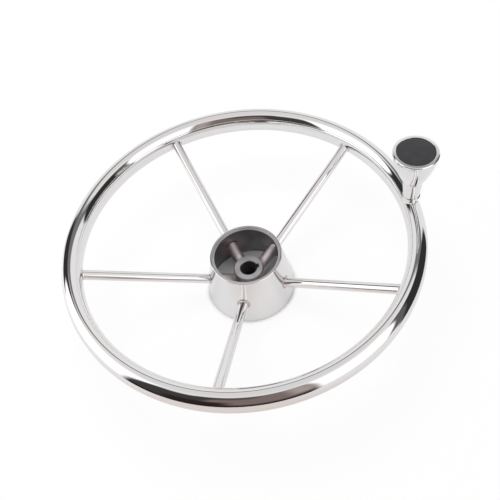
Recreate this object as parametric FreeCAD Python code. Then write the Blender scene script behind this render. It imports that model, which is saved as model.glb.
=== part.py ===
import FreeCAD, Part
import math
import os

from FreeCAD import Vector

# Boat steering wheel with five sloping rod spokes, an open cone hub and a turning knob.
# Millimetres. The origin is the centre of the shaft bore's large end, in the plane of the hub's base.
# +Z runs along the wheel's axis from the helm towards the driver.
# Angles are counted about +Z from +X, and the first spoke points along -Y.

# Rim: an oval tube rolled into a ring and welded closed
rim_outer_diameter = 343.0
rim_tube_width = 18.0
rim_tube_depth = 27.0
rim_tube_wall = 1.5
rim_height = 80.0

# Spokes: solid rods, welded to the rim and to the hub shell, and plugged into the hub arms
spoke_count = 5
first_spoke_angle = -90.0
spoke_diameter = 9.5
spoke_slope = 24.1
spoke_plug_length = 11.0
spoke_weld = 1.5
weld_fit = 0.05

# Hub shell: a cone open at both ends, with a recess for a centre cap in its mouth
shell_base_diameter = 89.4
shell_mouth_diameter = 70.8
shell_height = 53.4
shell_wall = 2.0
lip_width = 2.3
lip_rounding = 0.9
cap_recess_depth = 2.0
cap_ledge_width = 1.5
cap_ledge_thickness = 1.2

# Hub bush: the turned boss on the steering shaft, with a 1 in 12 taper and a keyway
bush_diameter = 30.0
bush_length = 30.0
taper_large_diameter = 19.05
taper_ratio = 12.0
bore_chamfer = 0.7
bush_chamfer = 0.8
keyway_width = 4.76
keyway_depth = 2.4
keyway_angle = 18.0

# Hub arms: sockets that stand out from the bush, one for each spoke
arm_diameter = 12.0
arm_wall_gap = 0.8
arm_weld = 1.0

# Knob place and boss: the boss is coped and welded to the rim, with a spigot inside the tube
knob_angle = 16.0
boss_diameter = 15.0
boss_rise = 3.0
boss_weld = 0.8
spigot_diameter = 10.0
spigot_depth = 9.0

# Shoulder screw that the knob turns on, with a washer at each end of the knob
shoulder_diameter = 8.0
thread_diameter = 6.0
thread_length = 11.0
screw_head_diameter = 13.0
screw_head_height = 5.5
screw_head_rounding = 0.6
hex_across_flats = 4.0
hex_depth = 3.0
lower_washer_diameter = 16.6
upper_washer_diameter = 17.0
washer_thickness = 1.0
running_clearance = 0.05
end_clearance = 0.2

# Knob body: a goblet turned from bar, its heights counted from its own foot
foot_diameter = 15.4
foot_chamfer = 0.5
neck_diameter = 19.0
neck_height = 20.0
bowl_middle_diameter = 31.9
bowl_middle_height = 34.8
bowl_diameter = 40.2
bowl_height = 52.2
cup_floor_diameter = 21.0
cup_floor_height = 28.3
cup_mouth_diameter = 32.0
cap_seat_depth = 3.0
sleeve_diameter = 12.0
lower_sleeve_length = 12.0
upper_sleeve_length = 10.0

# Bezel and cap that close the knob's cup
bezel_diameter = 41.0
bezel_height = 3.4
bezel_rounding = 1.1
bezel_bore_diameter = 34.6
bezel_skirt_wall = 0.8
bezel_gap = 0.3
cap_skirt_wall = 1.3
cap_thickness = 2.2
cap_recess = 0.4
cap_crown = 0.25
cap_chamfer = 0.3

# Values that follow from the sizes above
rim_radius = (rim_outer_diameter - rim_tube_width) / 2
rim_crest = rim_height + rim_tube_depth / 2
slope = math.radians(spoke_slope)
line_start_height = rim_height - rim_radius * math.tan(slope)
line_direction = Vector(math.cos(slope), 0, math.sin(slope))
shell_lean = (shell_base_diameter - shell_mouth_diameter) / 2 / shell_height
boss_top = rim_crest + boss_rise
washer_bore = shoulder_diameter + 2 * running_clearance
foot_height = boss_top + washer_thickness + end_clearance
cup_floor = foot_height + cup_floor_height
head_seat = cup_floor + end_clearance + washer_thickness
bowl_top = foot_height + bowl_height
cap_seat = bowl_top - cap_seat_depth
bezel_bottom = bowl_top + bezel_gap
bezel_top = bezel_bottom + bezel_height
skirt_diameter = bezel_bore_diameter + 2 * bezel_skirt_wall

centre = Vector(0, 0, 0)
up = Vector(0, 0, 1)


def at(radius, height):
    """A point of a turned profile, in the XZ plane."""
    return Vector(radius, 0, height)


def corner_points(before, corner, after, rounding):
    """The start, middle and end of an arc that rounds the corner between two straight edges."""
    back = (before - corner).normalize()
    ahead = (after - corner).normalize()
    half_angle = back.getAngle(ahead) / 2
    tangent = rounding / math.tan(half_angle)
    inwards = (back + ahead).normalize()
    crown = corner + inwards * (rounding / math.sin(half_angle) - rounding)
    return corner + back * tangent, crown, corner + ahead * tangent


def profile(corners):
    """Closed edges through corners given as (radius, height) or (radius, height, rounding)."""
    points = [at(corner[0], corner[1]) for corner in corners]
    stretches = []
    for i, corner in enumerate(corners):
        if len(corner) == 3:
            after = points[(i + 1) % len(points)]
            stretches.append(corner_points(points[i - 1], points[i], after, corner[2]))
        else:
            stretches.append((points[i],))
    edges = []
    for i, stretch in enumerate(stretches):
        if len(stretch) == 3:
            edges.append(Part.Arc(*stretch).toShape())
        following = stretches[(i + 1) % len(stretches)]
        edges.append(Part.LineSegment(stretch[-1], following[0]).toShape())
    return edges


def turned(edges):
    """The solid that a closed profile sweeps in one full turn about the Z axis."""
    return Part.Face(Part.Wire(edges)).revolve(centre, up, 360)


def cylinder(diameter, bottom, top):
    """An upright cylinder on the Z axis."""
    return Part.makeCylinder(diameter / 2, top - bottom, at(0, bottom), up)


def ring(outer_diameter, inner_diameter, bottom, top):
    """A plain turned ring on the Z axis."""
    outer = outer_diameter / 2
    inner = inner_diameter / 2
    return turned(profile([(inner, bottom), (outer, bottom), (outer, top), (inner, top)]))


def turn_by(shape, angle):
    """A copy turned about the wheel's axis."""
    copy = shape.copy()
    copy.rotate(centre, up, angle)
    return copy


def at_knob(shape):
    """A copy moved from the wheel's axis to the knob's place on the rim."""
    copy = shape.copy()
    copy.translate(at(rim_radius, 0))
    return turn_by(copy, knob_angle)


def oval_section(inset):
    """The tube's oval section as a face, smaller all round by the inset."""
    half_depth = rim_tube_depth / 2 - inset
    half_width = rim_tube_width / 2 - inset
    tip = at(rim_radius, rim_height + half_depth)
    side = at(rim_radius + half_width, rim_height)
    axes = [tip, side] if half_depth >= half_width else [side, tip]
    oval = Part.Ellipse(*axes, at(rim_radius, rim_height))
    return Part.Face(Part.Wire([oval.toShape()]))


def rim_envelope():
    """The outside of the rim's ring as a full solid."""
    return oval_section(0).revolve(centre, up, 360)


def shell_radius(height):
    """The radius of the hub shell's outer face at a height."""
    return shell_base_diameter / 2 - shell_lean * height


def cone_solid(inset):
    """The hub shell's cone as a full solid, narrower by the inset."""
    low = shell_radius(0) - inset
    high = shell_radius(shell_height) - inset
    return Part.makeCone(low, high, shell_height, centre, up)


def line_to_cone(inset):
    """The distance along a spoke's line at which it reaches the cone of that inset."""
    wall = shell_radius(line_start_height) - inset
    return wall / (math.cos(slope) + shell_lean * math.sin(slope))


def rod(diameter, start, end):
    """A rod on the spoke line that lies over +X, between two distances along that line."""
    foot = at(0, line_start_height) + line_direction * start
    return Part.makeCylinder(diameter / 2, end - start, foot, line_direction)


def welded(piece, diameter, wall, wall_surface, fillet):
    """The piece with a weld fillet where its round side meets the wall, less the wall itself."""
    joined = piece.fuse(wall)
    seam = []
    for edge in joined.Edges:
        sides = [face.Surface for face in joined.ancestorsOfType(edge, Part.Face)]
        rounds = [side for side in sides if is_round(side, diameter)]
        walls = [side for side in sides if isinstance(side, wall_surface) and side not in rounds]
        if len(rounds) == 1 and len(walls) == 1:
            seam.append(edge)
    return joined.makeFillet(fillet, seam).cut(wall)


def is_round(surface, diameter):
    """Whether a surface is a cylinder of that diameter."""
    return isinstance(surface, Part.Cylinder) and abs(surface.Radius - diameter / 2) < 1e-6


def rim():
    """The hollow ring, bent as two half turns that meet a quarter turn from the knob's hole."""
    section = oval_section(0).cut(oval_section(rim_tube_wall)).Faces[0]
    section.rotate(centre, up, knob_angle - 90)
    half = section.revolve(centre, up, 180)
    tube = half.fuse(turn_by(half, 180))
    spigot_hole = cylinder(spigot_diameter + 2 * weld_fit, rim_height, boss_top)
    return tube.cut(at_knob(spigot_hole))


def spoke():
    """The rod of the spoke that lies over +X, coped to the rim and filleted at both welds."""
    shell_face = line_to_cone(0)
    rim_middle = rim_radius / math.cos(slope)
    middle = (shell_face + rim_middle) / 2
    hub_half = rod(spoke_diameter, shell_face / 2, middle)
    rim_half = rod(spoke_diameter, middle, rim_middle)
    hub_half = welded(hub_half, spoke_diameter, cone_solid(0), Part.Cone, spoke_weld)
    rim_half = welded(rim_half, spoke_diameter, rim_envelope(), Part.SurfaceOfRevolution, spoke_weld)
    plug = rod(spoke_diameter, socket_floor() + weld_fit, shell_face + spoke_diameter / 2)
    return hub_half.fuse(rim_half).fuse(plug).removeSplitter()


def socket_floor():
    """The distance along a spoke's line of the closed end of its socket."""
    return line_to_cone(shell_wall + arm_wall_gap) - spoke_plug_length


def hub_arm():
    """The socket of the spoke that lies over +X, coped to the bush and to the shell's inside."""
    reach = line_to_cone(0)
    stub = rod(arm_diameter, bush_diameter / 4, reach)
    bush_body = cylinder(bush_diameter, 0, bush_length)
    arm = welded(stub, arm_diameter, bush_body, Part.Cylinder, arm_weld)
    arm = arm.common(cone_solid(shell_wall + arm_wall_gap))
    return arm.cut(rod(spoke_diameter + 2 * weld_fit, socket_floor(), reach))


def hub_shell():
    """The spun cone, with its lip, the ledge for a centre cap and a hole for each spoke."""
    lip_outer = shell_radius(shell_height)
    lip_inner = lip_outer - lip_width
    ledge_inner = lip_inner - cap_ledge_width
    ledge_top = shell_height - cap_recess_depth
    ledge_bottom = ledge_top - cap_ledge_thickness
    wall_height = slope_to_wall(ledge_inner, ledge_bottom)
    shell = turned(profile([
        (shell_radius(0), 0),
        (lip_outer, shell_height, lip_rounding),
        (lip_inner, shell_height, lip_rounding / 3),
        (lip_inner, ledge_top),
        (ledge_inner, ledge_top),
        (ledge_inner, ledge_bottom),
        (shell_radius(wall_height) - shell_wall, wall_height),
        (shell_radius(0) - shell_wall, 0),
    ]))
    hole = rod(spoke_diameter + 2 * weld_fit, line_to_cone(shell_wall) / 2, 2 * line_to_cone(0))
    for angle in spoke_angles():
        shell = shell.cut(turn_by(hole, angle))
    return shell


def slope_to_wall(radius, height):
    """The height at which a 45 degree slope, outwards and down from a point, meets the shell's inside."""
    wall = shell_radius(height) - shell_wall
    return height - (wall - radius) / (1 - shell_lean)


def taper_radius(height):
    """The radius of the bush's tapered bore, which is largest at the hub's base."""
    return (taper_large_diameter - height / taper_ratio) / 2


def hub_bush():
    """The turned bush with its tapered bore, chamfers and keyway."""
    outer = bush_diameter / 2
    high = bush_length - bore_chamfer
    bush = turned(profile([
        (taper_radius(bore_chamfer) + bore_chamfer, 0),
        (outer - bush_chamfer, 0),
        (outer, bush_chamfer),
        (outer, bush_length - bush_chamfer),
        (outer - bush_chamfer, bush_length),
        (taper_radius(high) + bore_chamfer, bush_length),
        (taper_radius(high), high),
        (taper_radius(bore_chamfer), bore_chamfer),
    ]))
    return bush.cut(turn_by(keyway(), keyway_angle))


def keyway():
    """The keyway's slot over +X, with a floor parallel to the bore's wall."""
    below = -bore_chamfer
    above = bush_length + bore_chamfer
    side = Part.Face(Part.Wire(profile([
        (0, below),
        (taper_radius(below) + keyway_depth, below),
        (taper_radius(above) + keyway_depth, above),
        (0, above),
    ])))
    side.translate(Vector(0, -keyway_width / 2, 0))
    return side.extrude(Vector(0, keyway_width, 0))


def spoke_angles():
    return [first_spoke_angle + i * 360 / spoke_count for i in range(spoke_count)]


def knob_boss():
    """The threaded boss, coped to the tube's crest, with its spigot through the tube's wall."""
    post = cylinder(boss_diameter, rim_height, boss_top)
    post.translate(at(rim_radius, 0))
    post = welded(post, boss_diameter, rim_envelope(), Part.SurfaceOfRevolution, boss_weld)
    spigot = cylinder(spigot_diameter, rim_crest - spigot_depth, boss_top)
    spigot.translate(at(rim_radius, 0))
    thread = cylinder(thread_diameter + 2 * weld_fit, rim_crest - spigot_depth, boss_top)
    thread.translate(at(rim_radius, 0))
    return turn_by(post.fuse(spigot).removeSplitter().cut(thread), knob_angle)


def knob_screw():
    """The shoulder screw, with its thread left plain and a hexagon socket in its head."""
    head = screw_head_diameter / 2
    shoulder = shoulder_diameter / 2
    thread = thread_diameter / 2
    head_top = head_seat + screw_head_height
    screw = turned(profile([
        (0, boss_top - thread_length),
        (thread, boss_top - thread_length),
        (thread, boss_top),
        (shoulder, boss_top),
        (shoulder, head_seat),
        (head, head_seat),
        (head, head_top, screw_head_rounding),
        (0, head_top),
    ]))
    return screw.cut(hexagon(head_top - hex_depth, head_top))


def hexagon(bottom, top):
    """A six-sided prism on the Z axis, as wide across its flats as the screw's socket."""
    corner = hex_across_flats / math.sqrt(3)
    turns = [math.radians(60 * i) for i in range(7)]
    points = [Vector(corner * math.cos(a), corner * math.sin(a), bottom) for a in turns]
    return Part.Face(Part.makePolygon(points)).extrude(Vector(0, 0, top - bottom))


def lower_washer():
    return ring(lower_washer_diameter, washer_bore, boss_top, boss_top + washer_thickness)


def upper_washer():
    return ring(upper_washer_diameter, washer_bore, head_seat - washer_thickness, head_seat)


def lower_sleeve():
    return ring(sleeve_diameter, washer_bore, foot_height, foot_height + lower_sleeve_length)


def upper_sleeve():
    return ring(sleeve_diameter, washer_bore, cup_floor - upper_sleeve_length, cup_floor)


def knob_body():
    """The goblet: a tapering neck, a bowl with a curved side, a cup inside and a bore for the sleeves."""
    bore = at(sleeve_diameter / 2, foot_height)
    foot = at(foot_diameter / 2 - foot_chamfer, foot_height)
    foot_side = at(foot_diameter / 2, foot_height + foot_chamfer)
    neck = at(neck_diameter / 2, foot_height + neck_height)
    bowl_middle = at(bowl_middle_diameter / 2, foot_height + bowl_middle_height)
    bowl_edge = at(bowl_diameter / 2, bowl_top)
    inside = [
        bowl_edge,
        at(skirt_diameter / 2, bowl_top),
        at(skirt_diameter / 2, cap_seat),
        at(cup_mouth_diameter / 2, cap_seat),
        at(cup_floor_diameter / 2, cup_floor),
        at(sleeve_diameter / 2, cup_floor),
        bore,
    ]
    outside = [bore, foot, foot_side, neck]
    edges = [Part.LineSegment(a, b).toShape() for a, b in zip(outside, outside[1:])]
    edges.append(Part.Arc(neck, bowl_middle, bowl_edge).toShape())
    edges += [Part.LineSegment(a, b).toShape() for a, b in zip(inside, inside[1:])]
    return turned(edges)


def knob_bezel():
    """The polished ring round the cap, with a skirt that stands on the cup's seat."""
    outer = bezel_diameter / 2
    bore = bezel_bore_diameter / 2
    skirt = skirt_diameter / 2
    return turned(profile([
        (bore, cap_seat),
        (skirt, cap_seat),
        (skirt, bezel_bottom),
        (outer, bezel_bottom, bezel_gap),
        (outer, bezel_top, bezel_rounding),
        (bore, bezel_top, bezel_gap),
    ]))


def knob_cap():
    """The black cap: a slightly crowned disc on a skirt, pushed into the bezel."""
    outer = bezel_bore_diameter / 2
    inner = outer - cap_skirt_wall
    face = bezel_top - cap_recess
    under = face - cap_thickness
    rim_inner = outer - cap_chamfer
    edges = [
        Part.LineSegment(a, b).toShape()
        for a, b in (
            (at(0, under), at(inner, under)),
            (at(inner, under), at(inner, cap_seat)),
            (at(inner, cap_seat), at(outer, cap_seat)),
            (at(outer, cap_seat), at(outer, face - cap_chamfer)),
            (at(outer, face - cap_chamfer), at(rim_inner, face)),
        )
    ]
    crown = Part.Arc(at(rim_inner, face), at(0, face + cap_crown), at(-rim_inner, face)).toShape()
    half_crown = crown.split((crown.FirstParameter + crown.LastParameter) / 2).Edges[0]
    edges.append(half_crown)
    edges.append(Part.LineSegment(at(0, face + cap_crown), at(0, under)).toShape())
    return turned(edges)


def pieces():
    """Every piece of the wheel by its node's name."""
    made = {
        "rim": rim(),
        "hub_shell": hub_shell(),
        "hub_bush": hub_bush(),
        "knob_boss": knob_boss(),
        "knob_screw": at_knob(knob_screw()),
        "knob_lower_washer": at_knob(lower_washer()),
        "knob_upper_washer": at_knob(upper_washer()),
        "knob_lower_sleeve": at_knob(lower_sleeve()),
        "knob_upper_sleeve": at_knob(upper_sleeve()),
        "knob_body": at_knob(knob_body()),
        "knob_bezel": at_knob(knob_bezel()),
        "knob_cap": at_knob(knob_cap()),
    }
    one_spoke = spoke()
    one_arm = hub_arm()
    for number, angle in enumerate(spoke_angles(), start=1):
        made[f"spoke_{number}"] = turn_by(one_spoke, angle)
        made[f"hub_arm_{number}"] = turn_by(one_arm, angle)
    return made


def main():
    os.makedirs("parts", exist_ok=True)
    for name, shape in pieces().items():
        solid = shape.Solids[0] if len(shape.Solids) == 1 else shape
        solid.exportStep(f"parts/{name}.step")


main()
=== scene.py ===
import math
from collections import namedtuple

import bmesh
import bpy
import numpy as np
from bpy.props import FloatProperty, FloatVectorProperty, IntProperty, PointerProperty
from mathutils import Matrix


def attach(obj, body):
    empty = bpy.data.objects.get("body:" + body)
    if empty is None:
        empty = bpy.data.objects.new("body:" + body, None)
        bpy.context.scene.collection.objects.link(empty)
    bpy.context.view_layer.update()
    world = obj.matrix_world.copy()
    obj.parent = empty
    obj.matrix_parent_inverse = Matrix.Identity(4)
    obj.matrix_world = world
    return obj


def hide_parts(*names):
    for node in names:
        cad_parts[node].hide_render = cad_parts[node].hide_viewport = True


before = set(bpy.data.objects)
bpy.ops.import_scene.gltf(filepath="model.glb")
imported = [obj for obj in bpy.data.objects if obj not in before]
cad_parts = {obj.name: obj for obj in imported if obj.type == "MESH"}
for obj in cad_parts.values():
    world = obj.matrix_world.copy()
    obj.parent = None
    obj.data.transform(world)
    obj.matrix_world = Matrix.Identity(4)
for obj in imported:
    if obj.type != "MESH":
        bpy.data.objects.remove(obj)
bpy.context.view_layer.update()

bl_info = {
    "name": "Boat steering wheel",
    "version": (1, 0, 0),
    "blender": (4, 5, 0),
    "location": "View3D > Sidebar > Wheel",
    "description": "Builds a polished boat steering wheel with a turning knob around its measured frame",
    "category": "Object",
}

UP = np.array([0.0, 0.0, 1.0])
# Steps across a rounded edge or a weld, and round each piece.
ARC_STEPS = 10
AROUND = {
    "rim": 720, "rim_bore": 240, "shell": 320, "bush": 160, "washer": 160, "knob": 256, "cap": 192,
    "sleeve": 96, "boss": 96, "screw": 72, "rod": 72, "drill": 48, "hexagon": 6, "table": 128, "room": 96,
}
OVAL_STEPS = {"rim": 80, "rim_bore": 40}
BOWL_STEPS = 48
CROWN_STEPS = 16
STEPS_PER_PITCH = 14
BISECTIONS = 44
SHARP_ANGLE = math.radians(28)
# Lengths in metres: between a profile's points, between a rod's rings, from a bend to the points that hold
# its shading, between points that become one, and the step that finds which way a wall faces.
PROFILE_SPACING = 0.003
ROD_SPACING = 0.004
SUPPORT = 0.00008
MERGE_DISTANCE = 1e-7
NORMAL_STEP = 1e-6
# Small edges in metres, and the thread's depth as a share of its pitch.
RING_EDGE = 0.0001
WASHER_EDGE = 0.0002
BOSS_BEVEL = 0.0003
HEAD_EDGE = 0.0006
THREAD_DEPTH = 0.6


def length(name, description, millimetres):
    """A length that a user may change, given in millimetres and kept in metres."""
    metres = millimetres / 1000
    return FloatProperty(
        name=name, description=description, default=metres, min=0, precision=5, unit="LENGTH"
    )


def colour(name, description, red, green, blue):
    """A colour that a user may change, from 0 to 1 in each part."""
    tone = (red, green, blue)
    return FloatVectorProperty(
        name=name, description=description, default=tone, min=0, max=1, size=3, subtype="COLOR"
    )


def share(name, description, amount):
    """A number between 0 and 1 that a user may change."""
    return FloatProperty(name=name, description=description, default=amount, min=0, max=1, subtype="FACTOR")


def turn(name, description, degrees):
    """An angle that a user may change, given in degrees."""
    return FloatProperty(name=name, description=description, default=math.radians(degrees), subtype="ANGLE")


class WheelRimSizes(bpy.types.PropertyGroup):
    diameter: length("Diameter", "Outside diameter of the rim's ring", 343)
    tube_width: length("Tube width", "Width of the oval tube, in the plane of the rim", 18)
    tube_depth: length("Tube depth", "Depth of the oval tube, along the wheel's axis", 27)
    tube_wall: length("Tube wall", "Thickness of the tube's wall", 1.5)


class WheelSpokeSizes(bpy.types.PropertyGroup):
    count: IntProperty(name="Count", description="Number of spokes", default=5, min=2)
    first_angle: turn("First angle", "Direction of the first spoke", -90)
    diameter: length("Diameter", "Diameter of a spoke's rod", 9.5)
    slope: turn("Slope", "Angle at which a spoke rises towards the rim", 24.1)
    line_height: length("Line height", "Height at which the spokes' centre lines meet the axis", 7.31)
    plug: length("Plug", "Length of a spoke inside its socket", 11)
    weld: length("Weld", "Radius of the weld at each end of a spoke", 1.5)
    fit: length("Fit", "Gap between a welded piece and its hole", 0.05)


class WheelHubSizes(bpy.types.PropertyGroup):
    base: length("Base", "Outside diameter of the cone at its base", 89.4)
    mouth: length("Mouth", "Outside diameter of the cone at its mouth", 70.8)
    height: length("Height", "Height of the cone", 53.4)
    wall: length("Wall", "Thickness of the cone's wall", 2)
    lip: length("Lip", "Width of the lip round the mouth", 2.3)
    lip_rounding: length("Lip rounding", "Rounding of the lip's outer edge", 0.9)
    recess: length("Recess", "Depth of the recess for a centre cap", 2)
    ledge: length("Ledge", "Width of the ledge in the recess", 1.5)
    ledge_thickness: length("Ledge thickness", "Thickness of the ledge", 1.2)
    bush: length("Bush", "Outside diameter of the bush", 30)
    bush_length: length("Bush length", "Length of the bush", 30)
    bore: length("Bore", "Diameter of the tapered bore at its large end", 19.05)
    taper: FloatProperty(name="Taper", description="Length for one unit of taper", default=12, min=1)
    bore_chamfer: length("Bore chamfer", "Chamfer at both ends of the bore", 0.7)
    bush_chamfer: length("Bush chamfer", "Chamfer round the bush's ends", 0.8)
    keyway_width: length("Keyway width", "Width of the keyway", 4.76)
    keyway_depth: length("Keyway depth", "Depth of the keyway beyond the bore", 2.4)
    keyway_angle: turn("Keyway angle", "Direction of the keyway", 18)
    arm: length("Arm", "Diameter of a socket arm", 12)
    arm_gap: length("Arm gap", "Gap between an arm's end and the cone's inside", 0.8)
    arm_weld: length("Arm weld", "Radius of the weld between an arm and the bush", 1)


class WheelKnobSizes(bpy.types.PropertyGroup):
    angle: turn("Angle", "Place of the knob round the rim", 16)
    boss: length("Boss", "Diameter of the boss on the rim", 15)
    boss_rise: length("Boss rise", "Height of the boss above the rim's crest", 3)
    boss_weld: length("Boss weld", "Radius of the weld round the boss", 0.8)
    spigot: length("Spigot", "Diameter of the boss's spigot", 10)
    spigot_depth: length("Spigot depth", "Depth of the spigot below the rim's crest", 9)
    shoulder: length("Shoulder", "Diameter of the screw's shoulder", 8)
    thread: length("Thread", "Diameter of the screw's thread", 6)
    thread_length: length("Thread length", "Length of the screw's thread", 11)
    pitch: length("Pitch", "Pitch of the screw's thread", 1)
    head: length("Head", "Diameter of the screw's head", 13)
    head_height: length("Head height", "Height of the screw's head", 5.5)
    hexagon: length("Hexagon", "Width across the flats of the screw's socket", 4)
    hexagon_depth: length("Hexagon depth", "Depth of the screw's socket", 3)
    lower_washer: length("Lower washer", "Diameter of the washer under the knob", 16.6)
    upper_washer: length("Upper washer", "Diameter of the washer under the screw's head", 17)
    washer: length("Washer", "Thickness of each washer", 1)
    running_gap: length("Running gap", "Gap between the shoulder and what turns on it", 0.05)
    end_gap: length("End gap", "Gap between the knob and each washer", 0.2)
    foot: length("Foot", "Diameter of the knob's foot", 15.4)
    foot_chamfer: length("Foot chamfer", "Chamfer round the knob's foot", 0.5)
    neck: length("Neck", "Diameter of the neck where the bowl begins", 19)
    neck_height: length("Neck height", "Height of the neck above the foot", 20)
    middle: length("Middle", "Diameter of the bowl at half its height", 31.9)
    middle_height: length("Middle height", "Height of the bowl's middle above the foot", 34.8)
    bowl: length("Bowl", "Diameter of the bowl's edge", 40.2)
    bowl_height: length("Bowl height", "Height of the bowl's edge above the foot", 52.2)
    cup_floor: length("Cup floor", "Diameter of the cup's floor", 21)
    cup_height: length("Cup height", "Height of the cup's floor above the foot", 28.3)
    cup_mouth: length("Cup mouth", "Diameter of the cup at the cap's seat", 32)
    seat_depth: length("Seat depth", "Depth of the cap's seat below the bowl's edge", 3)
    sleeve: length("Sleeve", "Outside diameter of the sleeves", 12)
    lower_sleeve: length("Lower sleeve", "Length of the lower sleeve", 12)
    upper_sleeve: length("Upper sleeve", "Length of the upper sleeve", 10)
    bezel: length("Bezel", "Outside diameter of the bezel", 41)
    bezel_height: length("Bezel height", "Height of the bezel", 3.4)
    bezel_rounding: length("Bezel rounding", "Rounding of the bezel's outer edge", 1.1)
    bezel_bore: length("Bezel bore", "Inside diameter of the bezel", 34.6)
    bezel_skirt: length("Bezel skirt", "Thickness of the bezel's skirt", 0.8)
    bezel_gap: length("Bezel gap", "Gap between the bowl's edge and the bezel", 0.3)
    cap_skirt: length("Cap skirt", "Thickness of the cap's skirt", 1.3)
    cap: length("Cap", "Thickness of the cap's disc", 2.2)
    cap_recess: length("Cap recess", "Depth of the cap's face below the bezel", 0.4)
    cap_crown: length("Cap crown", "Rise of the cap's face at its middle", 0.25)
    cap_chamfer: length("Cap chamfer", "Chamfer round the cap's face", 0.3)


class WheelFinishes(bpy.types.PropertyGroup):
    steel: colour("Steel", "Polished steel", 0.80, 0.795, 0.795)
    warm_steel: colour("Warm steel", "Polished steel where its tone is warmer", 0.80, 0.78, 0.77)
    polish: share("Polish", "Roughness of the polished steel", 0.045)
    weld: colour("Weld", "Steel tinted by the heat of welding", 0.30, 0.25, 0.21)
    # Painted shade: the unpolished steel inside the hub has a dark tone that stands in for the shade inside
    # the cone.
    satin_painted_dark: colour("Satin", "Unpolished steel inside the hub", 0.32, 0.322, 0.33)
    heat_tint: colour("Heat tint", "Unpolished steel near the welds", 0.50, 0.42, 0.45)
    satin_roughness: share("Satin roughness", "Roughness of the unpolished steel", 0.36)
    turned: colour("Turned", "Turned steel of the bush", 0.63, 0.615, 0.62)
    # Painted light: the arms' steel is paler than the bush's turned steel, standing in for the light on
    # them.
    arm: colour("Arm", "Turned steel of the arms", 0.82, 0.74, 0.745)
    turned_roughness: share("Turned roughness", "Roughness of the bush's turned steel", 0.34)
    arm_roughness: share("Arm roughness", "Roughness of the arms' turned steel", 0.476)
    cap: colour("Cap", "Black plastic of the knob's cap", 0.026, 0.026, 0.03)
    cap_roughness: share("Cap roughness", "Roughness of the cap", 0.3)
    sleeve: colour("Sleeve", "Plastic of the knob's sleeves", 0.80, 0.78, 0.72)
    sleeve_roughness: share("Sleeve roughness", "Roughness of the sleeves", 0.4)


class WheelStudio(bpy.types.PropertyGroup):
    table: length("Table", "Radius of the round table under the wheel", 315)
    room: length("Room", "Radius of the room's light round the wheel", 1300)
    table_gap: length("Table gap", "Gap between the wheel's base and the table", 0.2)
    table_colour: colour("Table colour", "Colour of the table", 0.93, 0.935, 0.945)
    table_front: colour("Table front", "Colour of the table in front of the hub", 0.85, 0.77, 0.74)
    mirror_glow: share("Mirror glow", "Share of plain tone in the table that the steel mirrors", 0.5)
    glow: share("Glow", "Share of plain white in the table that the camera sees", 0.85)
    lens: FloatProperty(name="Lens", description="Focal length of the camera", default=47.57, unit="CAMERA")
    lamp_power: FloatProperty(
        name="Lamp power", description="Power of the lamp over the table", default=6, unit="POWER"
    )
    lamp_size: length("Lamp size", "Side of the square lamp over the table", 900)
    lamp_height: length("Lamp height", "Height of the lamp above the table", 1300)


def unit(vectors):
    """Vectors scaled to length one, along the last direction of the array."""
    return vectors / np.linalg.norm(vectors, axis=-1, keepdims=True)


def dot(a, b):
    """Dot products along the last direction of two arrays."""
    return np.sum(a * b, axis=-1, keepdims=True)


def straight(start, end):
    """Points strictly between two ends, with one close to each end to hold the shading of a bend there."""
    distance = np.linalg.norm(end - start)
    if distance < 4 * SUPPORT:
        return np.empty((0, 2))
    inner = np.linspace(0, 1, 2 + int(distance / PROFILE_SPACING))[1:-1]
    parts = np.concatenate([[SUPPORT / distance], inner, [1 - SUPPORT / distance]])
    return start + parts[:, None] * (end - start)


def bend(corner, back, ahead, rounding):
    """The arc that rounds a corner: its points turn evenly from one side's tangent point to the other's."""
    half_angle = np.arccos(np.clip(np.dot(back, ahead), -1, 1)) / 2
    middle = corner + unit(back + ahead) * rounding / np.sin(half_angle)
    start = corner + back * rounding / np.tan(half_angle) - middle
    end = corner + ahead * rounding / np.tan(half_angle) - middle
    sweep = np.pi - 2 * half_angle
    part = np.linspace(0, 1, ARC_STEPS + 1)[:, None]
    return middle + (np.sin((1 - part) * sweep) * start + np.sin(part * sweep) * end) / np.sin(sweep)


def rounded(corners, closed=True):
    """A profile of (radius, height) points through corners given as (radius, height, rounding)."""
    corners = np.array([(*corner, 0)[:3] for corner in corners], float)
    points = corners[:, :2]
    back = unit(np.roll(points, 1, 0) - points)
    ahead = unit(np.roll(points, -1, 0) - points)
    stretches = [
        bend(points[i], back[i], ahead[i], corners[i, 2]) if corners[i, 2] else points[i:i + 1]
        for i in range(len(points))
    ]
    path = []
    for i, stretch in enumerate(stretches):
        path.append(stretch)
        if closed or i < len(stretches) - 1:
            path.append(straight(stretch[-1], stretches[(i + 1) % len(stretches)][0]))
    return np.concatenate(path)


def arc_through(first, second, third, steps):
    """Points on the circle through three points, from the first to the third."""
    first, second, third = (complex(*point) for point in (first, second, third))
    ratio = (third - first) / (second - first)
    centre = first + (second - first) * (ratio - abs(ratio) ** 2) / (2j * ratio.imag)
    sweep = np.angle((third - centre) / (first - centre))
    path = centre + (first - centre) * np.exp(1j * sweep * np.linspace(0, 1, steps + 1))
    return np.stack([path.real, path.imag], axis=-1)


def full_turn(steps):
    """Angles spread evenly round a circle."""
    return np.arange(steps) * 2 * np.pi / steps


def turned(profile, steps, centre=(0.0, 0.0)):
    """A profile turned about an upright axis: x and y are the radius times the angle's cosine and sine."""
    angle = full_turn(steps)
    radius, height = profile[:, :1], profile[:, 1:]
    x, y = centre[0] + radius * np.cos(angle), centre[1] + radius * np.sin(angle)
    return np.stack([x, y, height + 0 * angle], axis=-1)


def post(radius, low, high, steps, centre):
    """A plain upright post, as a closed grid to cut a hole with."""
    return turned(np.array([(0, low), (radius, low), (radius, high), (0, high)]), steps, centre)


def turned_by(points, angle):
    """Points turned about the wheel's axis."""
    c, s = np.cos(angle), np.sin(angle)
    return points @ np.array([[c, s, 0], [-s, c, 0], [0, 0, 1]])


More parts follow.
